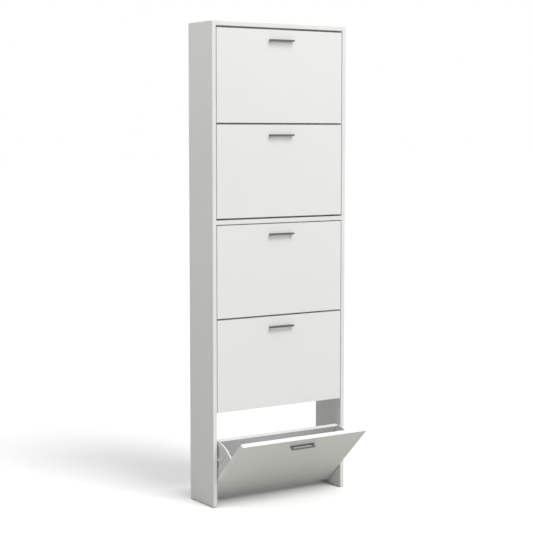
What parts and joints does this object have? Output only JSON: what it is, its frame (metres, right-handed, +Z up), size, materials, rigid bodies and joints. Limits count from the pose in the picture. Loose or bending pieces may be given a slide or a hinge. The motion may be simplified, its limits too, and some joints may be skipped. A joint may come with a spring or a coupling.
{
  "type": "shoe cabinet",
  "caption": "Tall slim shoe cabinet of white boards: stacked tip-out flaps turn on pins near their lower edge, each with a shallow shoe box behind it and a bar handle in front.",
  "frame": {"origin": "middle of the cabinet's front plane, at floor level; with one flap open this is within a few millimetres of the middle of the whole bounding box's base", "axes": "+X to the right seen from the front, +Y back towards the wall, +Z up"},
  "size_m": [0.6, 0.3426, 1.8],
  "materials": {
    "board": "16 mm particle board with a white melamine face and matching edge band, fine matt grain",
    "front": "white melamine flap panel, satin, with matching edge band",
    "moulding": "light grey-white moulded plastic, fine matt grain",
    "handle_metal": "dark grey satin powder coat on metal",
    "steel": "zinc-plated steel",
    "zinc": "die-cast zinc, dull",
    "dowel_wood": "plain beech dowel",
    "glide": "grey plastic glide"
  },
  "bodies": {
    "carcass": {"side_left_upper": "board", "side_right_upper": "board", "side_left_lower": "board", "side_right_lower": "board", "top_board": "board", "middle_board": "board", "dowels": "dowel_wood", "cam_bolts": "steel", "cam_locks": "zinc", "cam_covers": "moulding", "joint_screws": "steel", "floor_glides": "glide", "pivot_pins": "steel", "stop_pegs": "steel", "rail_base": "board", "rail_low": "board", "rail_middle": "board", "rail_high": "board", "rail_top": "board"},
    "flap_1": {"flap_panel_1": "front", "bracket_left_1": "moulding", "bracket_right_1": "moulding", "back_board_1": "board", "base_board_1": "board", "handle_1": "handle_metal", "handle_screws_1": "steel", "bracket_screws_1": "steel"},
    "flap_2": {"flap_panel_2": "front", "bracket_left_2": "moulding", "bracket_right_2": "moulding", "back_board_2": "board", "base_board_2": "board", "handle_2": "handle_metal", "handle_screws_2": "steel", "bracket_screws_2": "steel"},
    "flap_3": {"flap_panel_3": "front", "bracket_left_3": "moulding", "bracket_right_3": "moulding", "back_board_3": "board", "base_board_3": "board", "handle_3": "handle_metal", "handle_screws_3": "steel", "bracket_screws_3": "steel"},
    "flap_4": {"flap_panel_4": "front", "bracket_left_4": "moulding", "bracket_right_4": "moulding", "back_board_4": "board", "base_board_4": "board", "handle_4": "handle_metal", "handle_screws_4": "steel", "bracket_screws_4": "steel"},
    "flap_5": {"flap_panel_5": "front", "bracket_left_5": "moulding", "bracket_right_5": "moulding", "back_board_5": "board", "base_board_5": "board", "handle_5": "handle_metal", "handle_screws_5": "steel", "bracket_screws_5": "steel"}
  },
  "joints": [
    {"name": "flap_1_hinge", "type": "hinge", "parent": "carcass", "child": "flap_1", "pos_m": [0, 0.022, 1.5285], "axis": [1, 0, 0], "range_deg": [0, 46.5]},
    {"name": "flap_2_hinge", "type": "hinge", "parent": "carcass", "child": "flap_2", "pos_m": [0, 0.022, 1.177], "axis": [1, 0, 0], "range_deg": [0, 46.5]},
    {"name": "flap_3_hinge", "type": "hinge", "parent": "carcass", "child": "flap_3", "pos_m": [0, 0.022, 0.806], "axis": [1, 0, 0], "range_deg": [0, 46.5]},
    {"name": "flap_4_hinge", "type": "hinge", "parent": "carcass", "child": "flap_4", "pos_m": [0, 0.022, 0.4545], "axis": [1, 0, 0], "range_deg": [0, 46.5]},
    {"name": "flap_5_hinge", "type": "hinge", "parent": "carcass", "child": "flap_5", "pos_m": [0, 0.022, 0.103], "axis": [1, 0, 0], "range_deg": [-46.5, 0]}
  ]
}
